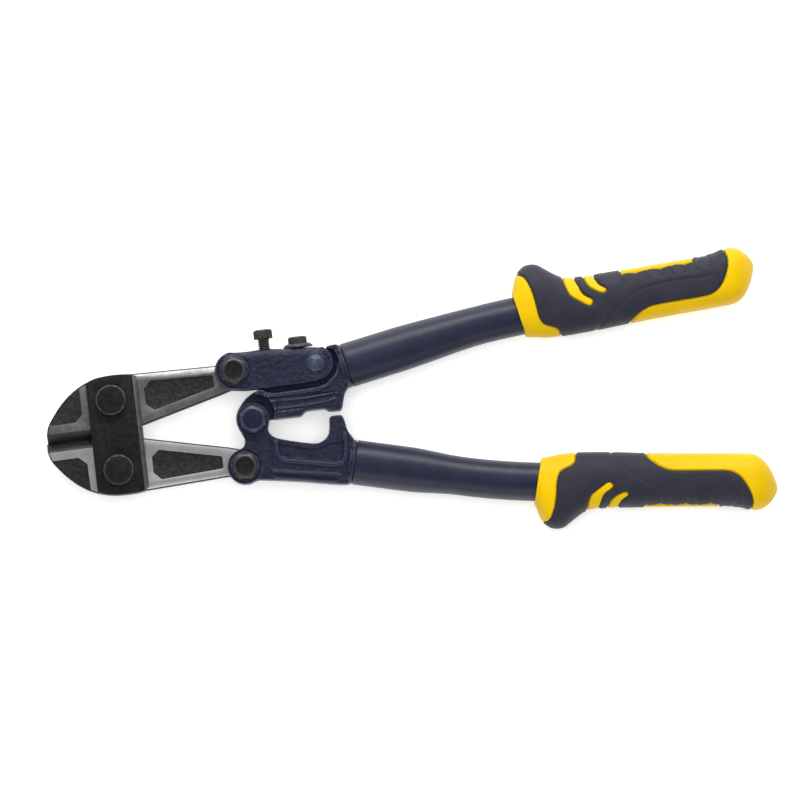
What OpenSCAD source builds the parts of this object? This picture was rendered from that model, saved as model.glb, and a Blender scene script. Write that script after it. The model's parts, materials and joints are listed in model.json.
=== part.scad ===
// Compound bolt cutters, about 310 mm long, lying flat with the jaws closed.
// Shapes are drawn about the tool's middle plane: x = 0 is the line through the two jaw bolts,
// +X runs to the handles and y = 0 is the tool's centre line. placed() then moves the tool so
// that the origin is under the middle of its box.

/* [Cutting head] */
// Distance between the two jaw bolts
jaw_pitch = 30; // [29:0.5:31]
// Thickness of each jaw
jaw_t = 7.8; // [7.4:0.1:7.9]
// Distance from the jaw bolt to the link bolt in each jaw's tail
jaw_arm = 54; // [53:0.5:55]
// Width of the ground bevel along each cutting edge
edge_bevel = 3.9; // [3:0.1:4.2]
// Thickness of each side plate
plate_t = 3; // [2.5:0.1:3.2]
// Diameter of the jaw bolts' round heads
jaw_head_d = 13; // [12:0.5:13.5]

/* [Levers] */
// Thickness of the lever castings
lever_t = 16; // [15.6:0.2:16.4]
// Width of the slot between the ears of each fork
fork_gap = 8; // [8:0.1:8.2]
// Thickness over the ears of the forks
fork_t = 15.2; // [14.8:0.1:15.4]
// Depth of the sunk panels in the castings
panel_depth = 0.8; // [0.4:0.1:1.2]

/* [Fasteners] */
// Diameter of the jaw bolts
jaw_bolt_d = 8; // [7:0.5:9]
// Diameter of the link bolts and the centre bolt
link_bolt_d = 6; // [5:0.5:6]
// Width across flats of the link bolts' heads
link_flats = 10.5; // [10:0.5:11]
// Diameter of the adjusting screw and the lock bolt
screw_d = 5; // [4:0.5:5]
// Width across flats of the adjusting screw's head and the lock bolt's head
screw_flats = 8; // [7:0.5:8]

/* [Handles] */
// Diameter of each tube where it meets its casting
tube_d = 19.2; // [18.5:0.1:19.4]
// Diameter of each tube beyond its taper
neck_d = 16.6; // [16:0.1:16.8]
// Wall of the tubes
tube_wall = 1.6; // [1.2:0.1:1.8]
// Thickness of the grips
grip_t = 22; // [21:0.5:22]

/* [Hidden] */
$fn = 48;

run_gap = 0.05;      // radial clearance of a bolt in a hole it turns in
seat_gap = 0.02;     // radial clearance of a bolt in a hole it sits in
face_gap = 0.1;      // gap between flat faces that slide on each other
through = 40;        // length of a cut that goes right through

// Jaws: both are one shape, drawn for the upper jaw and turned a little at rest
jaw_skew = 1.07;                       // turn of both jaws at rest, about their own bolts
tail_angle = 5.95;                     // angle of the tail's link bolt, seen from the jaw bolt
jaw_y = jaw_pitch / 2;
tail_r = 7;                            // round end of a jaw's tail
tail = [0, jaw_y] + jaw_arm * [cos(tail_angle), sin(tail_angle)];
knuckle_r = jaw_y - face_gap;          // round of a jaw about its bolt
edge_end = -9.6;                       // x where the cutting edge ends
edge_gap = 0.03;                       // gap between the closed cutting edges
edge_room = edge_bevel + edge_gap / 2;
recess_depth = 0.6;

// Pivots at rest
upper_pivot = [0, jaw_y];
lower_pivot = [0, -jaw_y];
upper_link = upper_pivot + jaw_arm * [cos(tail_angle + jaw_skew), sin(tail_angle + jaw_skew)];
lower_link = lower_pivot + jaw_arm * [cos(jaw_skew - tail_angle), sin(jaw_skew - tail_angle)];
centre = [59.4, 0];
slot_shift = [1.1, 2.2];               // how far the slot for the centre bolt runs
slot_extra = 0.8;                      // room around the centre bolt in that slot
centre_ear_r = 6.9;                    // round ends of the lower lever at its two bolts
link_ear_r = 7.5;
tongue_r = 7.2;                        // round end of the upper lever's tongue
ear_room_r = 8.3;
tongue_room_r = 10.4;
rivet = [88.7, 21];
screw_x = 67.6;
lock_x = 82;

// Levels through the thickness
plate_in = jaw_t / 2 + face_gap;
plate_out = plate_in + plate_t;
jaw_nut_t = 4;
jaw_head_t = 3;
jaw_head_rim = 1.6;                    // chamfer round a jaw bolt's head
plate_edge = 12;                       // x of the side plates' edge towards the handles
plate_bevel = [1.8, 1.2];              // width and depth of the bevel along that edge
rest_h = plate_out + jaw_nut_t;        // height of the middle plane above what the tool lies on
bolt_end = 0.4 - rest_h;               // the bolts end just inside their nuts
fork_out = fork_t / 2;
link_head_t = 3.4;
dish_r = 4;                            // sunk middle of the link bolts' heads
dish_depth = 0.35;
tongue_t = fork_gap - 2 * face_gap;

// Adjusting arm
ear_r = 8.2;                           // round front end of the arm
arm_end_r = 7.5;                       // round rear end of the arm
arm_room = 0.8;                        // gap between that end and the casting
bridge_y = 25.5;                       // underside of the bridge between the arm's plates
bridge_x = 60.5;                       // front end of that bridge
bridge_to = 91.6;                      // rear end of that bridge
web_top = 24;                          // top of the casting's web between the plates
web_step = 92.6;                       // x behind the bridge where that web rises
screw_tip = web_top + face_gap;
screw_head = [34, 38];                 // from and to, along Y
arm_flat_y = 28.4;                     // flat on the bridge, under the lock bolt
washer = [28.72, 30.3];                // from and to, along Y: the arm needs the room when adjusted
lock_head_top = 33.4;
lock_tip = 14.2;                       // inner end of the lock bolt
lock_hole_room = 0.35;                 // radial room of the lock bolt in the bridge
rivet_dome = [5.25, 1.85];             // radius and height of the rivet's round heads

// Handles: where each tube starts, and its direction
upper_end = [101.6, 18.6];
upper_dir = 10.8;
lower_end = [100.6, -22.9];
lower_dir = -13.9;
taper_from = 26;
taper_to = 42;
bend_from = 46;
bend_r = 300;
bend_angle = 7.5;
tail_len = 75;                         // straight length of a tube inside its grip
spigot_len = 20;
collar_len = 2.5;                      // round end of each casting, before its tube

// Grips: each has its own frame, s along the grip and t outwards
upper_grip_at = [177, 31.6];
upper_grip_dir = 3.5;
lower_grip_at = [177, -39.5];
lower_grip_dir = -6.2;
grip_hole_r = neck_d / 2 + 1;
core_r = 10.1;                         // round core of the shell under the sleeve
sleeve_hole_r = core_r + 0.05;
sleeve_from = 8.6;
sleeve_to = 88;
core_stop = 92;                        // bottom of the hole for the tube
sides = 24;                            // points round a grip
outer_edge = [
    [-1.2, 10], [0.3, 12.5], [2.7, 16.8], [7, 20.4], [9.6, 20.8], [12, 20], [14.5, 17.8],
    [18.3, 15], [21.2, 13.2], [26, 12.2], [36, 11.8], [62, 11.6], [84, 11.7], [90, 12.8],
    [93.5, 13.3], [97, 12.8], [100.3, 10.2], [103.4, 6.5]
];
inner_edge = [
    [-1.2, -10], [3, -10.7], [12, -11.8], [27, -12.1], [62, -11.6], [88.5, -11.5],
    [93, -10.4], [97.2, -7.5], [100, -3.5], [103.4, 2.5]
];
half_thick = [
    [-1.2, 10], [2, 10.8], [8, grip_t / 2], [92, grip_t / 2], [97, 10], [100.3, 8], [103.4, 4.5]
];

// Middle of the tool's box
mid_x = 125.3;
mid_y = -4.9;

navy = [0.10, 0.13, 0.20];
black = [0.09, 0.09, 0.10];
steel = [0.62, 0.61, 0.60];
yellow = [0.96, 0.80, 0.08];
soft_navy = [0.17, 0.20, 0.28];

// ---- helpers ----

// Points of an arc from angle a to angle b
function arc(c, r, a, b, n = 12) =
    [for (i = [0:n]) let (t = a + (b - a) * i / n) c + r * [cos(t), sin(t)]];

// One point of the smooth curve through p1 and p2
function spline_at(p0, p1, p2, p3, u) = 0.5 * (2 * p1 + (p2 - p0) * u
    + (2 * p0 - 5 * p1 + 4 * p2 - p3) * u * u + (3 * p1 - p0 - 3 * p2 + p3) * u * u * u);

// Smooth curve through a list of points
function smooth(p, n = 4) = let (last = len(p) - 1) concat(
    [for (i = [0:last - 1]) for (k = [0:n - 1])
        spline_at(p[max(i - 1, 0)], p[i], p[i + 1], p[min(i + 2, last)], k / n)],
    [p[last]]);

// Rounds the corner at q, between p and s, with radius r
function corner(p, q, s, r, n = 4) = let (
    u = (p - q) / norm(p - q), v = (s - q) / norm(s - q), half = acos(u * v) / 2,
    c = q + (u + v) / norm(u + v) * r / sin(half),
    from = q + u * r / tan(half) - c, to = q + v * r / tan(half) - c,
    a = atan2(from[1], from[0]), turn = (atan2(to[1], to[0]) - a + 540) % 360 - 180
) arc(c, r, a, a + turn, n);

// Closed outline through the points, with every corner rounded
function rounded(p, r) = let (n = len(p))
    [for (i = [0:n - 1]) each corner(p[(i + n - 1) % n], p[i], p[(i + 1) % n], r)];

module placed() translate([-mid_x, -mid_y, rest_h]) children();

module at(p, z = 0) translate([p[0], p[1], z]) children();

// A flat plate from height a to height b
module slab(a, b) translate([0, 0, a]) linear_extrude(b - a) children();

module hole(p, r) at(p, -through / 2) cylinder(r = r, h = through);

// The same cut on both faces of a plate of thickness t
module both_faces(t, depth) {
    slab(t / 2 - depth, t / 2 + 1) children();
    slab(-t / 2 - 1, depth - t / 2) children();
}

// Hexagon by its width across flats, chamfered at the top down to a round face
module hex(flats, h, turn = 0) intersection() {
    face_r = 0.42 * flats;
    rotate(turn) cylinder(d = flats / cos(30), h = h, $fn = 6);
    cylinder(r1 = face_r + h / tan(30), r2 = face_r, h = h);
}

// ---- jaws ----

module jaw_outline() polygon(concat(
    [[-29.2, edge_gap / 2]],
    smooth([[-29.2, 3.6], [-28.1, 7.4], [-25.3, 11.5], [-21.8, 15.6], [-17.5, 19.5], [-12, 22.9],
        [-6, 24.9], [0, 25.7], [10, 25.2]]),
    [[46.5, 23.9]],
    arc(tail, tail_r, 146, -76),
    [[47.5, 11.4], [13, 3]],
    arc([0, jaw_y], knuckle_r, -60, -120),
    [[edge_end, 1.6], [edge_end, edge_gap / 2]]
));

module blade_recess() polygon(rounded(
    [[-40, 7.5], [-16.4, 7.5], [-13, 10.7], [-13, 30], [-40, 30]], 1));

module arm_recess() polygon(rounded(
    [[14.7, 11.3], [18, 8.6], [44.5, 14.9], [44.5, 20.1], [17.6, 21.3], [14.6, 18]], 0.9));

// The two cuts that grind a blade down to its edge
module edge_grind() for (side = [0, 1]) mirror([0, 0, side])
    translate([-31, 0, 0]) rotate([90, 0, 90]) linear_extrude(31 + edge_end)
        polygon([[-1, 0.4], [0, 0.4], [edge_room, jaw_t / 2 + 0.01], [edge_room, jaw_t], [-1, jaw_t]]);

module jaw() difference() {
    slab(-jaw_t / 2, jaw_t / 2) jaw_outline();
    edge_grind();
    both_faces(jaw_t, recess_depth) blade_recess();
    both_faces(jaw_t, recess_depth) arm_recess();
    hole([0, jaw_y], jaw_bolt_d / 2 + run_gap);
    hole(tail, link_bolt_d / 2 + run_gap);
}

module upper_jaw() color(steel) placed()
    at(upper_pivot) rotate(jaw_skew) at(-upper_pivot) jaw();

module lower_jaw() color(steel) placed()
    at(lower_pivot) rotate(jaw_skew) at(-lower_pivot) mirror([0, 1, 0]) jaw();

// ---- head ----

module plate_outline() {
    half = smooth([[-10, 23.4], [-6, 24.9], [0, 25.6], [6, 25.5], [10.4, 24.9],
        [plate_edge, 23.8]], 3);
    polygon(concat(half, [for (i = [len(half) - 1:-1:0]) [half[i][0], -half[i][1]]]));
}

module side_plate() difference() {
    slab(plate_in, plate_out) plate_outline();
    for (p = [upper_pivot, lower_pivot]) hole(p, jaw_bolt_d / 2 + seat_gap);
    // ground bevel along the edge towards the handles
    translate([plate_edge, through, plate_out]) rotate([90, 0, 0]) linear_extrude(2 * through)
        polygon([[-plate_bevel[0], 0.01], [0.1, -plate_bevel[1]], [0.1, 0.01]]);
}

module front_side_plate() color(black) placed() side_plate();

module rear_side_plate() color(black) placed() mirror([0, 0, 1]) side_plate();

// Round head with a chamfered rim, and a shank that ends inside the nut
module jaw_bolt() {
    head_r = jaw_head_d / 2;
    top = plate_out + jaw_head_t;
    rotate_extrude() polygon([[0, plate_out], [head_r, plate_out], [head_r, top - jaw_head_rim],
        [head_r - jaw_head_rim, top], [0, top]]);
    translate([0, 0, bolt_end]) cylinder(d = jaw_bolt_d, h = plate_out - bolt_end);
}

module jaw_nut() translate([0, 0, -plate_out]) mirror([0, 0, 1]) difference() {
    hex(jaw_head_d, jaw_nut_t);
    cylinder(r = jaw_bolt_d / 2 + seat_gap, h = 3 * jaw_nut_t, center = true);
}

module upper_jaw_bolt() color(black) placed() at(upper_pivot) jaw_bolt();

module lower_jaw_bolt() color(black) placed() at(lower_pivot) jaw_bolt();

module upper_jaw_nut() color(black) placed() at(upper_pivot) jaw_nut();

module lower_jaw_nut() color(black) placed() at(lower_pivot) jaw_nut();

// ---- link bolts and centre bolt ----

// Bolt with a dished hexagon head
module link_bolt(turn) {
    translate([0, 0, fork_out]) difference() {
        hex(link_flats, link_head_t, turn);
        translate([0, 0, link_head_t - dish_depth]) cylinder(r = dish_r, h = 1);
    }
    translate([0, 0, bolt_end]) cylinder(d = link_bolt_d, h = fork_out + 1 - bolt_end);
}

module link_nut(turn) translate([0, 0, -fork_out]) mirror([0, 0, 1]) difference() {
    hex(link_flats, rest_h - fork_out, turn);
    cylinder(r = link_bolt_d / 2 + seat_gap, h = through, center = true);
}

module upper_link_bolt() color(black) placed() at(upper_link) link_bolt(30);

module upper_link_nut() color(black) placed() at(upper_link) link_nut(30);

module lower_link_bolt() color(black) placed() at(lower_link) link_bolt(-4);

module lower_link_nut() color(black) placed() at(lower_link) link_nut(-4);

module centre_bolt() color(navy) placed() at(centre) link_bolt(30);

module centre_nut() color(navy) placed() at(centre) link_nut(30);

// ---- adjusting arm and its fasteners ----

module arm_outline() polygon(concat(
    arc(upper_link, ear_r, 270, 100, 16),
    smooth([[55, 29.3], [60, 29.1], [68, 29.3], [74, 28.7], [86, 28.1], [91, 27.4]], 3),
    arc(rivet, arm_end_r, 62, -60, 10),
    smooth([[90, 13.9], [86, 13.2], [70, 12.8], [57, 12.9]], 3)
));

module adjusting_arm() color(navy) placed() difference() {
    slab(-fork_out, fork_out) arm_outline();
    // the slot that the jaw's tail and the casting's web sit in
    translate([40, 0, -fork_gap / 2]) cube([60, bridge_y, fork_gap]);
    translate([40, 0, -fork_gap / 2]) cube([bridge_x - 40, through, fork_gap]);
    translate([bridge_to, 0, -fork_gap / 2]) cube([10, through, fork_gap]);
    hole(upper_link, link_bolt_d / 2 + seat_gap);
    hole(rivet, screw_d / 2 + run_gap);
    for (x = [screw_x, lock_x]) translate([x, bridge_y - 3, 0]) rotate([-90, 0, 0])
        cylinder(r = screw_d / 2 + (x == lock_x ? lock_hole_room : run_gap), h = 10);
    // flat for the lock bolt's washer
    translate([lock_x - 7, arm_flat_y, -through / 2]) cube([14, 5, through]);
}

// Domed head on both sides
module arm_rivet() color(navy) placed() at(rivet) {
    cylinder(d = screw_d, h = 2 * fork_out, center = true);
    for (side = [0, 1]) mirror([0, 0, side]) translate([0, 0, fork_out]) intersection() {
        translate([0, 0, rivet_dome[1] - rivet_dome[0]]) sphere(r = rivet_dome[0]);
        cylinder(r = rivet_dome[0], h = rivet_dome[0]);
    }
}

module adjusting_screw() color(black) placed() translate([screw_x, 0, 0]) rotate([-90, 0, 0]) {
    translate([0, 0, screw_tip]) cylinder(d = screw_d, h = screw_head[0] - screw_tip + 0.5);
    translate([0, 0, screw_head[0]]) hex(screw_flats, screw_head[1] - screw_head[0], 30);
}

module lock_bolt() color(black) placed() translate([lock_x, 0, 0]) rotate([-90, 0, 0]) {
    translate([0, 0, lock_tip]) cylinder(d = screw_d, h = washer[1] - lock_tip + 0.5);
    translate([0, 0, washer[1] + seat_gap])
        hex(screw_flats, lock_head_top - washer[1] - seat_gap, 30);
}

module lock_washer() color(black) placed() translate([lock_x, washer[0], 0])
    rotate([-90, 0, 0]) difference() {
        cylinder(r1 = 6.9, r2 = 5.2, h = washer[1] - washer[0]);
        cylinder(r = screw_d / 2 + run_gap, h = through, center = true);
    }

// ---- lever castings ----

// Where the tube's frame starts
module tube_frame(end, dir) at(end) rotate(dir) rotate([0, 90, 0]) children();

module spigot(end, dir) tube_frame(end, dir) {
    translate([0, 0, -collar_len]) cylinder(d = tube_d - 0.2, h = collar_len - 0.1);
    translate([0, 0, -1]) cylinder(r = tube_d / 2 - tube_wall - seat_gap, h = spigot_len + 1);
}

// Room beside the tongue that the lower lever's ears need round the centre bolt
module ear_room() for (k = [0:3]) translate(centre + slot_shift * k / 3) circle(r = ear_room_r);

module centre_slot() {
    r = link_bolt_d / 2 + run_gap + slot_extra;
    a = atan2(slot_shift[1], slot_shift[0]);
    slab(-through / 2, through / 2) polygon(concat(
        arc(centre, r, a + 90, a + 270), arc(centre + slot_shift, r, a - 90, a + 90)));
}

// Tongue at the centre bolt, and the web between the arm's plates
module upper_web() polygon(concat(
    arc(centre, tongue_r, 300, 180, 10),
    smooth([[52.4, 2.2], [53.6, 5], [57, 9], [60.5, 11.3], [64.5, 12.8]], 3),
    [[64.5, web_top], [web_step, web_top], [web_step, 26.4], [94.2, 27.2], [97, 27.4], [99, 10],
        [80, 0], [66, -1]]
));

module upper_body() polygon(concat(
    [[63, -0.9], [80, -0.9]], arc([83.3, -1.6], 2.8, 140, 90, 4),
    [[90.3, 1.2], [92, 0], [97, -0.2]],
    smooth([[97.8, 0.5], [98.6, 3.4], [99.6, 6.6], [101, 8.6], [102, 9.6]], 3),
    [[98.9, 27.6], [98, 28], [94.2, 27.6], [93.6, 26.9], [96.5, 26.2]],
    arc(rivet, 9.6, 30, -62, 8),
    [[92, 11.4], [88, 10.7], [70, 10.1], [66, 11], [64.6, 12.2], [61.5, 11.2], [60.5, 8]]
));

module upper_panel() polygon([[70, 2.2], [81, 2.4], [84, 4.2], [92, 4.4], [95.5, 6.6], [95.8, 8.4],
    [70, 7.2]]);

module upper_lever() color(navy) placed() {
    difference() {
        union() {
            slab(-tongue_t / 2, tongue_t / 2) upper_web();
            slab(-lever_t / 2, lever_t / 2) difference() {
                upper_body();
                ear_room();
                translate(rivet) circle(r = arm_end_r + arm_room);
            }
        }
        both_faces(lever_t, panel_depth) upper_panel();
        centre_slot();
        hole(rivet, screw_d / 2 + seat_gap);
        translate([lock_x, lock_tip - 0.4, 0]) rotate([-90, 0, 0])
            cylinder(r = screw_d / 2 + run_gap, h = 12);
    }
    spigot(upper_end, upper_dir);
}

module lower_outline() polygon(concat(
    arc(centre, centre_ear_r, -25, 190, 16),
    smooth([[52.8, -3], [54.4, -6.5], [55, -8.6], [54.2, -11.3]], 3),
    arc(lower_link, link_ear_r, 110, 290, 16),
    smooth([[57, -26.3], [59, -25.8], [62, -26.3], [70, -27.5], [80, -29.2], [90, -31.2],
        [97, -32.2]], 2),
    [[101.4, -13.4]],
    smooth([[101, -12.6], [100, -11], [99, -9], [98.4, -5.6], [97.6, -2.8]], 3),
    [[96.5, -2.3], [92.8, -2.3]],
    smooth([[91.8, -3.2], [91.4, -7.5], [90.4, -10.6], [87.5, -12.8], [83, -13], [70, -9.6],
        [66.4, -7.4], [65.3, -5]], 3)
));

// Slot between the lower lever's ears, for the upper lever's tongue and the jaw's tail
module lower_fork_slot() slab(-fork_gap / 2, fork_gap / 2) {
    translate(centre) circle(r = tongue_room_r);
    translate(lower_link) circle(r = tail_r + 0.6);
    polygon([[40, 12], [40, -40], [61.5, -40], lower_link + [tail_r + 0.6, 0], [63, -9], [66, 6],
        [60, 12]]);
}

module lower_panel() polygon(concat(
    [[69.2, -11.4], [69.4, -15.5]], arc([72, -15.6], 2.6, 180, 260, 4),
    [[92, -22.3]], arc([93.6, -19.8], 2.5, -80, 0, 4), [[97, -13.2]],
    smooth([[94, -13.4], [90, -14], [85, -15.4], [80, -14.6]], 3)
));

module lower_lever() color(navy) placed() {
    difference() {
        union() {
            slab(-fork_out, fork_out) lower_outline();
            slab(-lever_t / 2, lever_t / 2) intersection() {
                lower_outline();
                translate([66, -40]) square([40, 45]);
            }
        }
        lower_fork_slot();
        both_faces(lever_t, panel_depth) lower_panel();
        hole(centre, link_bolt_d / 2 + seat_gap);
        hole(lower_link, link_bolt_d / 2 + seat_gap);
    }
    spigot(lower_end, lower_dir);
}

// ---- tubes ----

// The tube's solid shape, smaller all round by inset; bend is 1 or -1
module tube_shape(inset, bend) {
    big = tube_d / 2 - inset;
    small = neck_d / 2 - inset;
    cylinder(r = big, h = taper_from);
    translate([0, 0, taper_from]) cylinder(r1 = big, r2 = small, h = taper_to - taper_from);
    translate([0, 0, taper_to]) cylinder(r = small, h = bend_from - taper_to);
    translate([0, bend * bend_r, bend_from]) rotate([90, 0, -90 * bend])
        rotate_extrude(angle = bend_angle, $fn = 360) translate([bend_r, 0]) circle(r = small, $fn = 48);
}

module tube_tail(r, bend, h) translate([0, bend * bend_r, bend_from])
    rotate([-bend * bend_angle, 0, 0]) translate([0, -bend * bend_r, 0]) cylinder(r = r, h = h);

module tube(end, dir, bend) tube_frame(end, dir) difference() {
    union() {
        tube_shape(0, bend);
        tube_tail(neck_d / 2, bend, tail_len);
    }
    tube_shape(tube_wall, bend);
    tube_tail(neck_d / 2 - tube_wall, bend, tail_len + 1);
}

module upper_tube() color(navy) placed() tube(upper_end, upper_dir, -1);

module lower_tube() color(navy) placed() tube(lower_end, lower_dir, 1);

// ---- grips ----

// Ring of points round the grip at s, with half axes that make it follow the outer and inner edges
function grip_ring(s) = let (
    o = lookup(s, outer_edge), i = lookup(s, inner_edge), w = (o - i) / 2, m = (o + i) / 2,
    z = lookup(s, half_thick)
) [for (k = [0:sides - 1]) let (a = 360 * k / sides, c = cos(a), d = sin(a))
    [s, m + w * sign(c) * pow(abs(c), 0.85), z * sign(d) * pow(abs(d), 0.85)]];

function round_ring(s, r) =
    [for (k = [0:sides - 1]) [s, r * cos(360 * k / sides), r * sin(360 * k / sides)]];

// Closed solid through a list of rings; looped joins the last ring to the first, else both are capped
module loft(rings, looped) {
    n = len(rings);
    function p(i, k) = (i % n) * sides + k % sides;
    walls = [for (i = [0:n - (looped ? 1 : 2)]) for (k = [0:sides - 1]) each [
        [p(i, k), p(i, k + 1), p(i + 1, k)], [p(i, k + 1), p(i + 1, k + 1), p(i + 1, k)]]];
    caps = looped ? [] : [
        [for (k = [sides - 1:-1:0]) p(0, k)], [for (k = [0:sides - 1]) p(n - 1, k)]];
    polyhedron(points = [for (r = rings) each r], faces = concat(walls, caps));
}

// Collar, round core and butt in one piece, with a blind hole for the tube
module grip_shell() loft(concat(
    [round_ring(core_stop, grip_hole_r), round_ring(-1.2, grip_hole_r)],
    [for (s = [-1.2, 0.3, 2.7, 5, 7, sleeve_from - 0.3]) grip_ring(s)],
    [round_ring(sleeve_from - 0.3, core_r), round_ring(sleeve_to + 0.3, core_r)],
    [for (s = [sleeve_to + 0.3, 90, 93.5, 97, 100.3, 103.4]) grip_ring(s)]
), false);

module grip_sleeve() loft(concat(
    [round_ring(sleeve_from, sleeve_hole_r)],
    [for (s = [sleeve_from, 9.6, 12, 14.5, 18.3, 21.2, 26, 36, 49, 62, 75, 84, sleeve_to])
        grip_ring(s)],
    [round_ring(sleeve_to, sleeve_hole_r)]
), true);

module upper_grip() placed() at(upper_grip_at) rotate(upper_grip_dir) children();

module lower_grip() placed() at(lower_grip_at) rotate(lower_grip_dir) mirror([0, 1, 0]) children();

module upper_grip_shell() color(yellow) upper_grip() grip_shell();

module lower_grip_shell() color(yellow) lower_grip() grip_shell();

module upper_grip_sleeve() color(soft_navy) upper_grip() grip_sleeve();

module lower_grip_sleeve() color(soft_navy) lower_grip() grip_sleeve();

upper_jaw();
lower_jaw();
front_side_plate();
rear_side_plate();
upper_jaw_bolt();
lower_jaw_bolt();
upper_jaw_nut();
lower_jaw_nut();
adjusting_arm();
arm_rivet();
adjusting_screw();
lock_bolt();
lock_washer();
upper_link_bolt();
upper_link_nut();
lower_link_bolt();
lower_link_nut();
centre_bolt();
centre_nut();
upper_lever();
lower_lever();
upper_tube();
lower_tube();
upper_grip_shell();
lower_grip_shell();
upper_grip_sleeve();
lower_grip_sleeve();
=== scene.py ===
import json
import math

import bmesh
import bpy
import numpy as np
from mathutils import Matrix, Vector


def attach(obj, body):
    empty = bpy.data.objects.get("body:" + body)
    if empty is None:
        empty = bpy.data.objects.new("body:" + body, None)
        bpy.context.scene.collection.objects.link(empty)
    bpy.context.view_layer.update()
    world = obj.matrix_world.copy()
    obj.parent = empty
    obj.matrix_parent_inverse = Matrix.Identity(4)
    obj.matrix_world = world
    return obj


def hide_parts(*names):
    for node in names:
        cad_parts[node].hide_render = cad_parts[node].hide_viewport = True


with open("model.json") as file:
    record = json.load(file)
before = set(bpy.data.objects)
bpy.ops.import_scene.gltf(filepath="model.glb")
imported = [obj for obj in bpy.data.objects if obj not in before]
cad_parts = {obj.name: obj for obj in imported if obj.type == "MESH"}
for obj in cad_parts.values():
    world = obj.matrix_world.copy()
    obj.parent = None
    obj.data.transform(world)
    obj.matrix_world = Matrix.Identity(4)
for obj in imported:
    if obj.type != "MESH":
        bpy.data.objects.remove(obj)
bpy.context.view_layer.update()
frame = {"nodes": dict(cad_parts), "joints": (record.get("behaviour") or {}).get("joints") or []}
scene = bpy.context.scene

# ---------------------------------------------------------------- places
# The tool's own drawing frame, in millimetres: x = 0 is the line through the jaw bolts, +X runs
# to the handles, y = 0 is the centre line and z = 0 is the middle plane.

MM = 0.001
PIVOT = {j["name"]: Vector(j["pos_m"]) for j in frame["joints"]}
MIDDLE = (PIVOT["upper_jaw_pivot"] + PIVOT["lower_jaw_pivot"]) / 2


def place(x, y, z=0.0):
    """A point of the drawing frame, in the row frame, in metres."""
    return MIDDLE + Vector((x, y, z)) * MM


def drawn(point):
    """A point of the row frame, in the drawing frame, in millimetres."""
    return (Vector(point) - MIDDLE) / MM


# ---------------------------------------------------------------- camera, lights and floor

VIEW_CENTRE = (122.8, 1.4)        # what the middle of the picture looks at
VIEW_WIDTH = 342.4                # width of the picture on the middle plane
VIEW_ROLL = math.radians(6.5)     # the tool's axis runs this far up to the right
VIEW_TILT = math.radians(-2.5)    # the camera leans this far over the tool's lower side
VIEW_DISTANCE = 4.0               # in metres


def make_camera():
    """Looks down on the tool, nearly along its pivots."""
    right = Vector((math.cos(VIEW_ROLL), -math.sin(VIEW_ROLL), 0))
    up = Vector((math.sin(VIEW_ROLL), math.cos(VIEW_ROLL), 0))
    back = Vector((0, 0, 1)) * math.cos(VIEW_TILT) + up * math.sin(VIEW_TILT)
    data = bpy.data.cameras.new("camera")
    data.sensor_width = 36
    data.lens = data.sensor_width * VIEW_DISTANCE / (VIEW_WIDTH * MM)
    camera = bpy.data.objects.new("camera", data)
    scene.collection.objects.link(camera)
    camera.location = place(*VIEW_CENTRE) + back * VIEW_DISTANCE
    camera.rotation_mode = "QUATERNION"
    turn = Matrix((right, back.cross(right), back)).transposed()
    camera.rotation_quaternion = turn.to_quaternion()
    scene.camera = camera


def area_light(name, position, size, power, mirrored=True):
    """A soft light that faces the middle of the tool; shiny faces show it only if mirrored."""
    data = bpy.data.lights.new(name, "AREA")
    data.shape = "RECTANGLE"
    data.size, data.size_y = size
    data.energy = power
    light = bpy.data.objects.new(name, data)
    scene.collection.objects.link(light)
    light.location = place(125, 0) + Vector(position)
    light.rotation_mode = "QUATERNION"
    light.rotation_quaternion = Vector(position).to_track_quat("Z", "Y")
    light.visible_glossy = mirrored


WORLD_STRENGTH = 0.28
KEY_POWER = 11
TOP_POWER = 14
LOW_POWER = 2.0


def make_stage():
    """Pale floor, white surroundings and three soft lights."""
    world = bpy.data.worlds.new("studio")
    scene.world = world
    world.use_nodes = True
    world.node_tree.nodes["Background"].inputs["Color"].default_value = (1, 1, 1, 1)
    world.node_tree.nodes["Background"].inputs["Strength"].default_value = WORLD_STRENGTH
    area_light("key", (0.1, 1.0, 0.62), (1.3, 0.45), KEY_POWER)
    area_light("top", (0.0, 0.1, 1.3), (1.1, 1.1), TOP_POWER, mirrored=False)
    area_light("low", (-0.2, -1.0, 0.5), (1.2, 0.35), LOW_POWER)
    side = 6.0
    mesh = bpy.data.meshes.new("floor")
    corners = [(-side, -side, 0), (side, -side, 0), (side, side, 0), (-side, side, 0)]
    mesh.from_pydata(corners, [], [(0, 1, 2, 3)])
    floor = bpy.data.objects.new("floor", mesh)
    scene.collection.objects.link(floor)
    floor.location.z = -0.0004
    floor.data.materials.append(floor_paper())
    scene.view_settings.view_transform = "Standard"


# ---------------------------------------------------------------- materials

COLOUR_A = 6         # a Mix node's first colour socket; the second one comes after it
COLOUR_RESULT = 2    # its colour output


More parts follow.
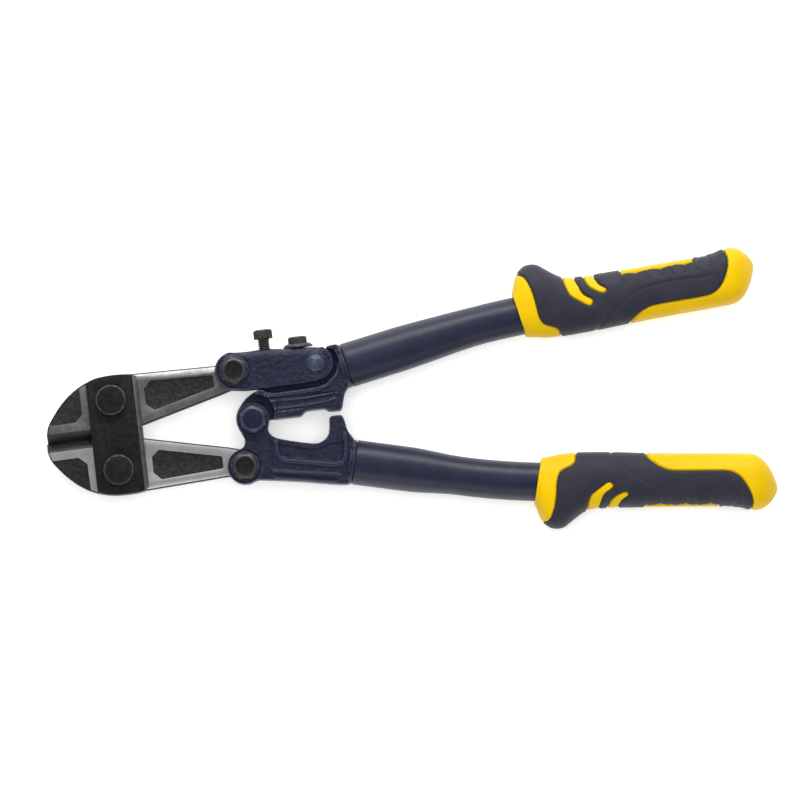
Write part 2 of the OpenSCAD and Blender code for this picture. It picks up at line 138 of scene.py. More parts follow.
class Shader:
    """A Principled material with a few short calls for its node tree."""

    def __init__(self, name, base, roughness, metallic=0.0, specular=0.5):
        self.material = bpy.data.materials.new(name)
        self.material.use_nodes = True
        self.tree = self.material.node_tree
        self.out = self.tree.nodes["Principled BSDF"]
        self.out.inputs["Base Color"].default_value = (*base, 1)
        self.out.inputs["Roughness"].default_value = roughness
        self.out.inputs["Metallic"].default_value = metallic
        self.out.inputs["Specular IOR Level"].default_value = specular
        self.height = None

    def node(self, kind, **values):
        """A new node; each value goes to the socket of that name, or else to the property."""
        made = self.tree.nodes.new(kind)
        for key, value in values.items():
            if key in made.inputs:
                made.inputs[key].default_value = value
            else:
                setattr(made, key, value)
        return made

    def link(self, a, b):
        self.tree.links.new(a, b)

    def noise(self, size_mm, detail=4.0, rough=0.6, stretch=(1, 1, 1)):
        """Noise whose patches are about size_mm across; stretch makes them longer along an axis."""
        coord = self.node("ShaderNodeTexCoord")
        mapping = self.node("ShaderNodeMapping")
        mapping.inputs["Scale"].default_value = [1 / (size_mm * MM * s) for s in stretch]
        self.link(coord.outputs["Object"], mapping.inputs["Vector"])
        texture = self.node("ShaderNodeTexNoise", Scale=1.0, Detail=detail, Roughness=rough)
        self.link(mapping.outputs["Vector"], texture.inputs["Vector"])
        return texture.outputs["Fac"]

    def ramp(self, source, low, high, at_low, at_high):
        """Maps source from low..high to at_low..at_high."""
        made = self.node("ShaderNodeMapRange")
        made.inputs["From Min"].default_value = low
        made.inputs["From Max"].default_value = high
        made.inputs["To Min"].default_value = at_low
        made.inputs["To Max"].default_value = at_high
        self.link(source, made.inputs["Value"])
        return made.outputs["Result"]

    def mix_colour(self, factor, a, b):
        """Colour a where factor is 0, b where it is 1; either may be an output of another node."""
        made = self.node("ShaderNodeMix", data_type="RGBA")
        self.link(factor, made.inputs["Factor"])
        for socket, value in zip(made.inputs[COLOUR_A:], (a, b)):
            if isinstance(value, tuple):
                socket.default_value = (*value, 1)
            else:
                self.link(value, socket)
        return made.outputs[COLOUR_RESULT]

    def colour(self, output):
        self.link(output, self.out.inputs["Base Color"])

    def roughness(self, source, at_low, at_high):
        """Roughness that follows a noise, from at_low in its hollows to at_high on its peaks."""
        self.link(self.ramp(source, 0.3, 0.7, at_low, at_high), self.out.inputs["Roughness"])

    def bump(self, source, depth_mm):
        """Adds a layer of bump, at most depth_mm deep."""
        made = self.node("ShaderNodeBump", Strength=1.0, Distance=depth_mm * MM)
        self.link(source, made.inputs["Height"])
        if self.height is not None:
            self.link(self.height, made.inputs["Normal"])
        self.height = made.outputs["Normal"]
        self.link(self.height, self.out.inputs["Normal"])

    def pointiness(self):
        """Over 0.5 on crests and under 0.5 in grooves."""
        return self.node("ShaderNodeNewGeometry").outputs["Pointiness"]

    def edge_highlight(self, width_mm, strength):
        """1 on convex edges, broken up by noise, and 0 elsewhere: the mask of a painted highlight
        along the edges.
        """
        bevel = self.node("ShaderNodeBevel", samples=6)
        bevel.inputs["Radius"].default_value = width_mm * MM
        geometry = self.node("ShaderNodeNewGeometry")
        dot = self.node("ShaderNodeVectorMath", operation="DOT_PRODUCT")
        self.link(bevel.outputs["Normal"], dot.inputs[0])
        self.link(geometry.outputs["Normal"], dot.inputs[1])
        edge = self.ramp(dot.outputs["Value"], 0.99, 0.8, 0.0, strength)
        broken = self.ramp(self.noise(1.6, 5), 0.42, 0.6, 0.0, 1.0)
        product = self.node("ShaderNodeMath", operation="MULTIPLY", use_clamp=True)
        self.link(edge, product.inputs[0])
        self.link(broken, product.inputs[1])
        return product.outputs["Value"]


def floor_paper():
    """White paper, a little uneven."""
    s = Shader("floor_paper", (0.86, 0.86, 0.86), 0.9, specular=0.1)
    s.out.inputs["Emission Color"].default_value = (1, 1, 1, 1)
    s.out.inputs["Emission Strength"].default_value = 0.42
    shade = s.ramp(s.noise(40, 3), 0.3, 0.7, 0, 1)
    s.colour(s.mix_colour(shade, (0.85, 0.85, 0.85), (0.88, 0.88, 0.88)))
    s.bump(s.noise(0.6, 3), 0.02)
    return s.material


def cast_paint(name, casting):
    """Dark blue paint on a rough casting, or on a fastener with crisp edges."""
    s = Shader(name, (0.01, 0.02, 0.06), 0.36, specular=0.5)
    mottle = s.ramp(s.noise(1.6, 6, 0.75), 0.38, 0.64, 0, 1)
    paint = s.mix_colour(mottle, (0.0015, 0.003, 0.014), (0.007, 0.011, 0.038))
    # Painted highlight: pale paint on a casting's crests, where pointiness is high, and along a
    # fastener's convex edges.
    if casting:
        pale = s.ramp(s.pointiness(), 0.508, 0.55, 0, 0.9)
    else:
        pale = s.edge_highlight(0.45, 0.9)
    s.colour(s.mix_colour(pale, paint, (0.06, 0.069, 0.12)))
    s.roughness(s.noise(1.2, 4), 0.26, 0.44)
    rough = 1 if casting else 0.25
    s.bump(s.noise(2.4, 3, 0.5), 0.6 * rough)
    s.bump(s.noise(1.1, 4, 0.7), 0.5 * rough)
    return s.material


def highlight_paint():
    """The same paint made pale as a painted highlight, on the arm's rivet and round the centre bolt's
    head.
    """
    s = Shader("highlight_paint", (0.05, 0.06, 0.12), 0.34, specular=0.5)
    patches = s.ramp(s.noise(1.3, 5, 0.7), 0.36, 0.62, 0, 1)
    s.colour(s.mix_colour(patches, (0.014, 0.02, 0.045), (0.055, 0.068, 0.12)))
    s.roughness(s.noise(1.0, 4), 0.28, 0.44)
    s.bump(s.noise(0.9, 4, 0.6), 0.05)
    return s.material


def tube_paint():
    """The same paint on smooth drawn tube, with a faint orange peel."""
    s = Shader("tube_paint", (0.01, 0.02, 0.06), 0.42, specular=0.5)
    shade = s.ramp(s.noise(9, 4), 0.35, 0.65, 0, 1)
    s.colour(s.mix_colour(shade, (0.007, 0.010, 0.027), (0.011, 0.015, 0.038)))
    s.roughness(s.noise(1.0, 3), 0.36, 0.48)
    s.bump(s.noise(1.5, 2, 0.5), 0.035)
    s.bump(s.noise(0.4, 2, 0.5), 0.012)
    return s.material


def ground_steel(name, dark, light):
    """Surface-ground steel: fine lines across the jaw, and slight stains."""
    s = Shader(name, light, 0.4, metallic=1.0)
    lines = s.noise(0.35, 3, 0.6, stretch=(1, 14, 1))
    stains = s.ramp(s.noise(6, 5, 0.65), 0.35, 0.68, 0, 1)
    toned = s.mix_colour(stains, light, dark)
    grooves = s.ramp(lines, 0.35, 0.65, 0, 0.55)
    s.colour(s.mix_colour(grooves, toned, tuple(c * 0.75 for c in dark)))
    s.roughness(lines, 0.34, 0.5)
    s.bump(lines, 0.005)
    return s.material


def forged_black():
    """Black forging skin in the sunk panels and on the edges of the jaws."""
    s = Shader("forged_black", (0.02, 0.02, 0.022), 0.5, metallic=0.3, specular=0.4)
    scale = s.ramp(s.noise(1.4, 6, 0.7), 0.4, 0.68, 0, 1)
    s.colour(s.mix_colour(scale, (0.011, 0.011, 0.013), (0.04, 0.039, 0.04)))
    s.roughness(s.noise(0.8, 4), 0.42, 0.62)
    s.bump(s.noise(1.1, 5, 0.65), 0.12)
    return s.material


def edge_grind():
    """Dark ground bevel beside the cutting edges, with lines along the edge."""
    s = Shader("edge_grind", (0.03, 0.03, 0.035), 0.36, metallic=0.7)
    lines = s.noise(0.3, 3, 0.5, stretch=(26, 1, 1))
    shade = s.ramp(lines, 0.3, 0.7, 0, 1)
    s.colour(s.mix_colour(shade, (0.016, 0.016, 0.019), (0.06, 0.06, 0.066)))
    s.roughness(lines, 0.3, 0.45)
    s.bump(lines, 0.015)
    return s.material


def black_oxide():
    """Blackened steel of the side plates and the fasteners."""
    s = Shader("black_oxide", (0.02, 0.02, 0.022), 0.4, metallic=0.55, specular=0.5)
    cloud = s.ramp(s.noise(2.2, 6, 0.7), 0.36, 0.66, 0, 1)
    skin = s.mix_colour(cloud, (0.009, 0.009, 0.010), (0.024, 0.023, 0.025))
    # Pale grey convex edges: a painted highlight.
    s.colour(s.mix_colour(s.edge_highlight(0.35, 1.0), skin, (0.3, 0.3, 0.3)))
    s.roughness(s.noise(1.5, 4), 0.34, 0.52)
    s.bump(s.noise(0.7, 4, 0.6), 0.03)
    return s.material


def highlight_oxide():
    """Blackened steel painted lighter grey: a painted highlight on chamfers, rims and the small
    fasteners.
    """
    s = Shader("highlight_oxide", (0.06, 0.06, 0.06), 0.36, metallic=0.6, specular=0.5)
    cloud = s.ramp(s.noise(1.1, 5, 0.7), 0.36, 0.66, 0, 1)
    skin = s.mix_colour(cloud, (0.035, 0.035, 0.036), (0.105, 0.104, 0.105))
    s.colour(s.mix_colour(s.edge_highlight(0.3, 0.8), skin, (0.26, 0.255, 0.25)))
    s.roughness(s.noise(1.0, 4), 0.3, 0.48)
    s.bump(s.noise(0.5, 4, 0.6), 0.03)
    return s.material


def yellow_plastic():
    """Hard yellow plastic, moulded with a fine spark texture."""
    s = Shader("yellow_plastic", (0.74, 0.47, 0.0), 0.42, specular=0.18)
    s.out.inputs["Subsurface Weight"].default_value = 0.04
    s.out.inputs["Subsurface Radius"].default_value = (0.002, 0.0012, 0.0002)
    tone = s.ramp(s.noise(12, 3), 0.3, 0.7, 0, 1)
    s.colour(s.mix_colour(tone, (0.70, 0.445, 0.0), (0.77, 0.495, 0.0)))
    s.roughness(s.noise(0.9, 3), 0.36, 0.5)
    s.bump(s.noise(0.22, 2, 0.5), 0.012)
    return s.material


def soft_navy():
    """Soft moulded rubber, matt, with a fine grain."""
    s = Shader("soft_navy", (0.035, 0.04, 0.07), 0.62, specular=0.35)
    s.out.inputs["Sheen Weight"].default_value = 0.06
    s.out.inputs["Sheen Roughness"].default_value = 0.5
    tone = s.ramp(s.noise(7, 4, 0.6), 0.3, 0.7, 0, 1)
    s.colour(s.mix_colour(tone, (0.018, 0.018, 0.030), (0.025, 0.025, 0.040)))
    s.roughness(s.noise(1.1, 4), 0.54, 0.7)
    s.bump(s.noise(0.3, 3, 0.6), 0.03)
    return s.material


# ---------------------------------------------------------------- mesh helpers

def add_object(name, mesh, body, materials, node):
    """Puts a finished mesh in the scene, on its body and in place of its CAD node."""
    piece = bpy.data.objects.new(name, mesh)
    scene.collection.objects.link(piece)
    for material in materials:
        mesh.materials.append(material)
    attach(piece, body)
    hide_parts(node)
    return piece


def smooth_by_angle(mesh, degrees=32):
    """Smooth shading with sharp edges where the faces meet at more than this angle."""
    mesh.shade_smooth()
    mesh.set_sharp_from_angle(angle=math.radians(degrees))


WELD = 0.002 * MM                  # points closer than this are one
SAME_FACE = math.radians(0.8)      # faces that meet at less than this are one
EDGE_ANGLE = math.radians(38)      # edges sharper than this are rounded


def machined(name, node, body, materials, edge_mm, pick=None, cut=None, finish=None, rim=-1):
    """A copy of a CAD node's surface with its edges rounded; pick gives each face its material.

    cut shapes the surface before that and finish after it; rim is the material of the edges.
    """
    mesh = bpy.data.meshes.new(name)
    bm = bmesh.new()
    bm.from_mesh(frame["nodes"][node].data)
    bmesh.ops.remove_doubles(bm, verts=bm.verts, dist=WELD)
    bmesh.ops.dissolve_limit(bm, angle_limit=SAME_FACE, verts=bm.verts, edges=bm.edges)
    if cut:
        cut(bm)
    for face in bm.faces:
        face.material_index = pick(drawn(face.calc_center_median()), face.normal) if pick else 0
    if finish:
        finish(bm)
    bm.to_mesh(mesh)
    bm.free()
    piece = add_object(name, mesh, body, materials, node)
    bevel = piece.modifiers.new("edges", "BEVEL")
    bevel.width = edge_mm * MM
    bevel.segments = 2
    bevel.limit_method = "ANGLE"
    bevel.angle_limit = EDGE_ANGLE
    bevel.use_clamp_overlap = True
    bevel.material = rim
    apply_modifiers(piece)
    smooth_by_angle(piece.data)
    return piece


def apply_modifiers(piece):
    """Turns the piece's modifiers into plain mesh."""
    depsgraph = bpy.context.evaluated_depsgraph_get()
    mesh = bpy.data.meshes.new_from_object(piece.evaluated_get(depsgraph))
    piece.modifiers.clear()
    piece.data = mesh


def tidy_normals(mesh):
    """Turns all faces outwards."""
    bm = bmesh.new()
    bm.from_mesh(mesh)
    bmesh.ops.recalc_face_normals(bm, faces=bm.faces)
    bm.to_mesh(mesh)
    bm.free()


def grid_faces(rows, columns, closed_rows=False):
    """Quads of a grid of points whose columns wrap round."""
    last = rows if closed_rows else rows - 1
    return [(r * columns + c, r * columns + (c + 1) % columns,
             (r + 1) % rows * columns + (c + 1) % columns, (r + 1) % rows * columns + c)
            for r in range(last) for c in range(columns)]


SPAN_STEPS = 8       # points of a smooth curve from one of its given points to the next


def curve(points):
    """A smooth curve (Catmull-Rom) through the points, as an array."""
    p = np.array(points, float)
    padded = np.vstack([2 * p[0] - p[1], p, 2 * p[-1] - p[-2]])
    out = []
    for i in range(len(p) - 1):
        a, b, c, d = padded[i:i + 4]
        for u in np.arange(SPAN_STEPS) / SPAN_STEPS:
            out.append(0.5 * (2 * b + (c - a) * u + (2 * a - 5 * b + 4 * c - d) * u ** 2
                              + (3 * b - a - 3 * c + d) * u ** 3))
    out.append(p[-1])
    return np.array(out)


CORNER_CUT = 0.22    # share of each side that a corner loses at both ends


def rounded(polygon):
    """A closed outline with its corners cut twice (Chaikin)."""
    p = np.array(polygon, float)
    for _ in range(2):
        following = np.roll(p, -1, axis=0)
        near = (1 - CORNER_CUT) * p + CORNER_CUT * following
        far = CORNER_CUT * p + (1 - CORNER_CUT) * following
        p = np.stack([near, far], axis=1).reshape(-1, 2)
    return p


def distance_to_path(points, path, closed):
    """Shortest distance from each point to a path of straight pieces."""
    ends = np.roll(path, -1, axis=0) if closed else path[1:]
    starts = path if closed else path[:-1]
    best = np.full(len(points), 1e9)
    for a, b in zip(starts, ends):
        ab = b - a
        u = np.clip(((points - a) @ ab) / max(ab @ ab, 1e-12), 0, 1)
        best = np.minimum(best, np.linalg.norm(points - a - u[:, None] * ab, axis=1))
    return best


def is_inside(points, polygon):
    """Whether each point is inside a closed outline."""
    inside = np.zeros(len(points), bool)
    for a, b in zip(polygon, np.roll(polygon, -1, axis=0)):
        if a[1] == b[1]:
            continue
        crosses = (a[1] > points[:, 1]) != (b[1] > points[:, 1])
        where = (b[0] - a[0]) * (points[:, 1] - a[1]) / (b[1] - a[1]) + a[0]
        inside ^= crosses & (points[:, 0] < where)
    return inside


def smoothstep(x, low, high):
    """Rises smoothly from 0 at low to 1 at high."""
    u = np.clip((x - low) / (high - low), 0, 1)
    return u * u * (3 - 2 * u)


# ---------------------------------------------------------------- cutting head

JAW_FACE = 3.9          # half the thickness of a jaw
EDGE_END = -9.6         # where the cutting edges end
OUTLINE = 0.55          # width of the black chamfer along a jaw's outline, forging black that also paints a shade line along the edge
# The sloped band along an arm's outer edge lies beyond a line, given by two points for each jaw
BAND_LINE = {1: ((12, 22.4), (46, 21.8)), -1: ((12, -22.2), (46, -21.4))}
BAND_FROM = 1           # x where the band starts, under the side plates
BAND_SLOPE = 0.36       # how steeply the band falls away from its line
FLAT = 0.97             # a face is flat when its normal's z is over this
JAW_BORE_R = 5          # the walls of the bolts' holes are closer to a pivot than this
NEAR = 0.05             # how close a point is to a level that it counts as being on
ON_LINE = 0.01          # and how close to that line
SUNK = 0.2              # the black panels lie deeper than this


def slope_outer_band(side):
    """Grinds the band along an arm's outer edge, on both faces, at a slope."""
    def cut(bm):
        (x0, y0), (x1, y1) = BAND_LINE[side]
        across = Vector((y0 - y1, x1 - x0, 0)).normalized() * side
        geometry = bm.verts[:] + bm.edges[:] + bm.faces[:]
        bmesh.ops.bisect_plane(bm, geom=geometry, plane_co=place(x0, y0), plane_no=across)
        for vert in bm.verts:
            p = drawn(vert.co)
            beyond = (p - Vector((x0, y0, 0))).dot(across)
            if beyond > ON_LINE and p.x > BAND_FROM and abs(p.z) > JAW_FACE - NEAR:
                vert.co.z -= math.copysign(beyond * BAND_SLOPE * MM, p.z)
        bm.normal_update()
    return cut


def jaw_finish(centre, normal):
    """0 ground steel, 1 black forging, 2 the dark bevel at the cutting edge."""
    if centre.x < EDGE_END and 0.2 < abs(normal.z) < FLAT:
        return 2
    sunk = abs(normal.z) > FLAT and abs(centre.z) < JAW_FACE - SUNK
    return 1 if sunk or abs(normal.z) < 0.5 else 0


def chamfer_outline(bm):
    """Chamfers the edges between a jaw's ground faces and its full-height walls, in forging black,
    which also paints a dark shade line along the outline.
    """
    def is_wall(face):
        heights = [drawn(v.co).z for v in face.verts]
        middle = face.calc_center_median()
        in_bore = min((middle - p).xy.length for p in PIVOT.values()) < JAW_BORE_R * MM
        return abs(face.normal.z) < 0.3 and max(heights) - min(heights) > JAW_FACE and not in_bore

    def is_ground(face):
        return face.material_index == 0

    edges = [e for e in bm.edges if len(e.link_faces) == 2
             and any(is_wall(f) for f in e.link_faces) and any(is_ground(f) for f in e.link_faces)]
    bmesh.ops.bevel(bm, geom=edges, offset=OUTLINE * MM, offset_type="OFFSET", segments=2,
                    profile=0.5, affect="EDGES", clamp_overlap=False, material=1)


JAW_BOLT_TOP = 10.0     # z of the top of the jaw bolts' heads
JAW_BOLT_LOW = 8.0      # the chamfer's lower circle is above this, and the rest of the bolt below
JAW_BOLT_R = 6.5        # radius of those heads
JAW_BOLT_RIM = 0.55     # width of the chamfer round their tops


def narrow_rim(pivot):
    """Narrows the chamfer round a jaw bolt's head: moves its upper circle out and its lower one up."""
    def cut(bm):
        centre = drawn(PIVOT[pivot]).xy
        for vert in bm.verts:
            p = drawn(vert.co)
            if p.z > JAW_BOLT_TOP - NEAR:
                out = (p.xy - centre).normalized() * (JAW_BOLT_R - JAW_BOLT_RIM)
                vert.co = place(centre.x + out.x, centre.y + out.y, p.z)
            elif p.z > JAW_BOLT_LOW:
                vert.co = place(p.x, p.y, JAW_BOLT_TOP - JAW_BOLT_RIM)
    return cut


def bolt_finish(centre, normal):
    """1 on the chamfer round the top of a jaw bolt's head, 0 elsewhere."""
    return int(centre.z > JAW_BOLT_LOW and 0.3 < normal.z < FLAT)


def plate_finish(centre, normal):
    """1 on the bevel towards the handles, 0 elsewhere."""
    return int(centre.x > 0 and 0.5 < abs(normal.z) < FLAT)


def make_head(steel, shaded_steel, forged, grind, oxide, lit_oxide, bevel):
    # The upper jaw takes the darker copy of the steel, painted shade, and the lower jaw the lighter
    # one, painted light.
    for node, side, skin in (("upper_jaw", 1, shaded_steel), ("lower_jaw", -1, steel)):
        machined(f"{node}_ground", node, node, [skin, forged, grind], 0.12,
                 jaw_finish, cut=slope_outer_band(side), finish=chamfer_outline)
    for node in ("front_side_plate", "rear_side_plate"):
        machined(f"{node}_blackened", node, "head", [oxide, bevel], 0.35,
                 plate_finish)
    for side in ("upper", "lower"):
        # The jaw bolts' chamfers and the nuts' edges take the lighter oxide: a painted highlight.
        machined(f"{side}_jaw_bolt_blackened", f"{side}_jaw_bolt", "head",
                 [oxide, lit_oxide], 0.12, bolt_finish, cut=narrow_rim(f"{side}_jaw_pivot"), rim=1)
        machined(f"{side}_jaw_nut_blackened", f"{side}_jaw_nut", "head",
                 [oxide, lit_oxide], 0.3, rim=1)


# ---------------------------------------------------------------- levers, arm and fasteners

VOXEL = 0.3              # cell of the castings' remeshed skin
CAST_PASSES = 8          # smoothing passes that round a casting's edges
LEVER_FACE = 8.0         # half thickness of the lever castings
ARM_FACE = 7.6           # half thickness over the ears and the adjusting arm
SKIN = (2.4, 0.7)        # depths under the face: ribs lift nothing below the first of these, and
                         # lift fully what is above the second
RING_STEPS = 40          # points of a round rib or groove


def pivot_point(joint):
    """Where a joint's axis stands, as (x, y) of the drawing frame."""
    return np.array(drawn(PIVOT[joint])[:2])


UPPER_LINK = pivot_point("upper_link_pivot")
LOWER_LINK = pivot_point("lower_link_pivot")
RIVET = pivot_point("arm_adjust")
CENTRE = np.array((59.4, 0.0))    # the centre bolt, which has no joint of its own


def circle(centre, radius):
    """The path of a round rib or groove."""
    angle = np.linspace(0, 2 * math.pi, RING_STEPS)
    x = centre[0] + radius * np.cos(angle)
    y = centre[1] + radius * np.sin(angle)
    return np.stack([x, y], axis=1)


# Raised ribs (height over 0) and grooves (under 0): points, half width and height
LOWER_RIBS = [
    ([(68, -10.6), (68.1, -15.8), (69.2, -18), (71.2, -19.2), (92, -23.3), (94.8, -23.1),
      (96.6, -21.2), (97.2, -18), (97.7, -10.8)], 1.1, 0.75),
    ([(67, -25.1), (79, -27.4), (91.5, -29.7)], 1.0, -0.75),
    ([(65.6, -22.9), (79, -25.2), (93.5, -27.7)], 0.75, 0.45),
    (circle(LOWER_LINK, 6.7), 0.5, -0.5),
    (circle(CENTRE, 6.3), 0.35, -0.3),
]
UPPER_RIBS = [
    ([(67.2, 9.2), (80, 9.3), (89, 9.8), (93.6, 11.6), (96.6, 15), (98, 20)], 0.95, 0.5),
    ([(65.8, 9.3), (66.8, 9.2)], 1.0, 0.4),
    ([(68.5, 7.9), (90, 8.2)], 0.5, -0.35),
    ([(67.6, 6.6), (82, 6.6), (96, 7.3)], 0.6, 0.55),
    ([(69.4, 3.3), (82, 3.5), (95, 4.8)], 0.6, 0.5),
]
ARM_RIBS = [(circle(UPPER_LINK, 6.8), 0.55, -0.35), (circle(RIVET, 5.3), 0.5, -0.18)]
# The arm's upper edge, and the outside radius of its bend from plate to bridge
ARM_ROOF = [(50.5, 29.3), (55, 29.3), (60, 29.1), (68, 29.3), (74, 28.7), (86, 28.1), (91.5, 27.2)]
ROOF_ROUND = 3.3


def rib_height(flat, ribs):
    """How high the ribs and grooves lift the face at each point."""
    total = np.zeros(len(flat))
    for path, half, height in ribs:
        far = distance_to_path(flat, np.array(path, float), False)
        total += height * (1 - smoothstep(far, 0.55 * half, half + 0.1))
    return total


def roof_drop(flat):
    """How much the arm's rounded upper edge falls away from its flat face."""
    far = np.minimum(distance_to_path(flat, np.array(ARM_ROOF), False), ROOF_ROUND)
    return ROOF_ROUND - np.sqrt(ROOF_ROUND ** 2 - (ROOF_ROUND - far) ** 2)


def cast(name, node, body, paint, face, height):
    """A casting: the CAD solid with soft edges, and with its ribs raised from both faces."""
    copy = frame["nodes"][node].data.copy()
    copy.materials.clear()
    piece = add_object(name, copy, body, [paint], node)
    remesh = piece.modifiers.new("skin", "REMESH")
    remesh.mode = "VOXEL"
    remesh.voxel_size = VOXEL * MM
    soft = piece.modifiers.new("soft", "SMOOTH")
    soft.iterations = CAST_PASSES
    apply_modifiers(piece)
    mesh = piece.data
    numbers = np.empty(len(mesh.vertices) * 3)
    mesh.vertices.foreach_get("co", numbers)
    points = numbers.reshape(-1, 3)
    local = (points - np.array(MIDDLE)) / MM
    share = smoothstep(np.abs(local[:, 2]), face - SKIN[0], face - SKIN[1])
    near = share > 0
    lift = height(local[near, :2]) * share[near] * np.sign(local[near, 2])
    points[near, 2] += lift * MM
    mesh.vertices.foreach_set("co", points.ravel())
    mesh.update()
    mesh.shade_smooth()


HEAD_STEPS = 60          # points round a bolt
HEAD_ANGLES = np.arange(HEAD_STEPS) * 2 * math.pi / HEAD_STEPS
HEAD_FACE = 0.42         # radius of a hexagon head's round face, for each millimetre of its flats
HEAD_SLOPE = math.tan(math.radians(30))
DISH = ((0.42, 0), (0.62, 0.06), (0.95, 0.44), (1.3, 0.55))    # inwards from that face, and down
DISH_FLOOR = 0.4         # radius of the dish's innermost ring, as a share of the face's


def level_ring(radius, z):
    """A ring of points round a bolt's axis; radius is one number, or one for each point."""
    x = radius * np.cos(HEAD_ANGLES)
    y = radius * np.sin(HEAD_ANGLES)
    return np.stack([x, y, z + 0 * HEAD_ANGLES], axis=1)


def hex_radius(flats, turn):
    """Radius of a hexagon at each of the HEAD_ANGLES."""
    within = (HEAD_ANGLES - turn) % (math.pi / 3) - math.pi / 6
    return flats / 2 / np.cos(within)


def rings_mesh(name, rings, to_row):
    """A closed body through level rings, whose first and last one are filled round a middle point."""
    points = np.vstack([rings[0].mean(axis=0)] + rings + [rings[-1].mean(axis=0)])
    count = len(rings)
    faces = [tuple(i + 1 for i in face) for face in grid_faces(count, HEAD_STEPS)]
    last = 1 + (count - 1) * HEAD_STEPS
    for k in range(HEAD_STEPS):
        following = (k + 1) % HEAD_STEPS
        faces.append((0, 1 + following, 1 + k))
        faces.append((last + k, last + following, len(points) - 1))
    mesh = bpy.data.meshes.new(name)
    mesh.from_pydata([to_row(p) for p in points], [], faces)
    tidy_normals(mesh)
    return mesh


def head_rings(flats, low, high, turn, dished):
    """Rings of a hexagon head, chamfered down to a round face that may be dished."""
    outer = hex_radius(flats, turn)
    face = HEAD_FACE * flats
    fall = np.maximum(outer - face, 0) * HEAD_SLOPE
    under = [level_ring(outer - 0.25, low), level_ring(outer, low + 0.25)]
    chamfer = [level_ring(outer, high - fall - 0.12), level_ring(outer - 0.12, high - fall),
               level_ring(face + 0.15, high - 0.1), level_ring(face - 0.1, high)]
    if not dished:
        return under + chamfer
    dish = [level_ring(face - inwards, high - down) for inwards, down in DISH]
    return under + chamfer + dish + [level_ring(face * DISH_FLOOR, high - DISH[-1][1])]


BOLT_END = -10.6           # z of the far end of the link bolts and the centre bolt
LINK_R = 3.0
LINK_FLATS = 10.5
LINK_HEAD = (7.6, 11.0)    # z of the underside and the top of their heads
LINK_RIM = range(4, 9)     # rings of a link bolt between which it takes the painted highlight
CENTRE_RIM = range(5, 8)   # the same for the centre bolt: only its chamfer


def make_link_bolt(node, centre, body, materials, turn, dished=True, rim=LINK_RIM):
    """Bolt with a hexagon head, whose second material is on its rim."""
    shank = [level_ring(LINK_R * 0.85, BOLT_END), level_ring(LINK_R, BOLT_END + 0.4),
             level_ring(LINK_R, LINK_HEAD[0])]
    rings = shank + head_rings(LINK_FLATS, *LINK_HEAD, math.radians(turn), dished)

    def to_row(p):
        return place(centre[0] + p[0], centre[1] + p[1], p[2])

    mesh = rings_mesh(node + "_turned", rings, to_row)
    for face in mesh.polygons:
        rows = {(v - 1) // HEAD_STEPS for v in face.vertices if 0 < v <= len(rings) * HEAD_STEPS}
        # Faces between the rim rings take the second material, a painted highlight.
        face.material_index = int(len(rows) == 2 and min(rows) in rim)
    add_object(mesh.name, mesh, body, materials, node)
    smooth_by_angle(mesh, 30)


SCREW_X = 67.6
SCREW_TIP, SCREW_HEAD, SCREW_TOP = 24.1, 34.0, 38.0    # y of its tip, and of its head's two ends
SCREW_R, SCREW_FLATS = 2.5, 8
THREAD_PITCH, THREAD_DEPTH = 0.9, 0.55
THREAD_STEP = 0.1        # distance between the rings that draw the thread


def screw_radius(y):
    """Radius at each of the HEAD_ANGLES, with the thread, which fades out under the head."""
    phase = (y / THREAD_PITCH - HEAD_ANGLES / (2 * math.pi)) % 1
    crest = np.clip(1.7 * np.abs(2 * phase - 1) - 0.05, 0, 1)
    fade = float(smoothstep(SCREW_HEAD - y, 0.2, 0.9))
    tip = 0.85 + 0.15 * float(smoothstep(y, SCREW_TIP, SCREW_TIP + 0.5))
    return (SCREW_R - THREAD_DEPTH * (1 - crest) * fade) * tip


def make_adjusting_screw(skin):
    """Hexagon screw with its thread cut round the shank."""
    rings = [level_ring(screw_radius(y), y) for y in np.arange(SCREW_TIP, SCREW_HEAD, THREAD_STEP)]
    rings += head_rings(SCREW_FLATS, SCREW_HEAD, SCREW_TOP, math.radians(30), False)

    def to_row(p):
        return place(SCREW_X + p[0], p[2], -p[1])

    mesh = rings_mesh("adjusting_screw_threaded", rings, to_row)
    add_object(mesh.name, mesh, "adjusting_screw", [skin], "adjusting_screw")
    smooth_by_angle(mesh, 30)


def make_castings(paint):
    cast("lower_lever_cast", "lower_lever", "lower_handle", paint, LEVER_FACE,
         lambda flat: rib_height(flat, LOWER_RIBS))
    cast("upper_lever_cast", "upper_lever", "upper_handle", paint, LEVER_FACE,
         lambda flat: rib_height(flat, UPPER_RIBS))
    cast("adjusting_arm_cast", "adjusting_arm", "adjusting_arm", paint, ARM_FACE,
         lambda flat: rib_height(flat, ARM_RIBS) - roof_drop(flat))


LOCK_X = 82
WASHER_HOLE_R = 4        # the washer's rim is further out than this, and its hole is not
WASHER_RIM_Y = 29        # the lower rim is under this level
WASHER_TRIM = 0.925


def trim_washer(bm):
    """Draws in the washer's lower rim, which is close to the arm when the arm is adjusted."""
    for vert in bm.verts:
        p = drawn(vert.co)
        across = Vector((p.x - LOCK_X, p.z))
        if p.y < WASHER_RIM_Y and across.length > WASHER_HOLE_R:
            vert.co = place(LOCK_X + across.x * WASHER_TRIM, p.y, across.y * WASHER_TRIM)


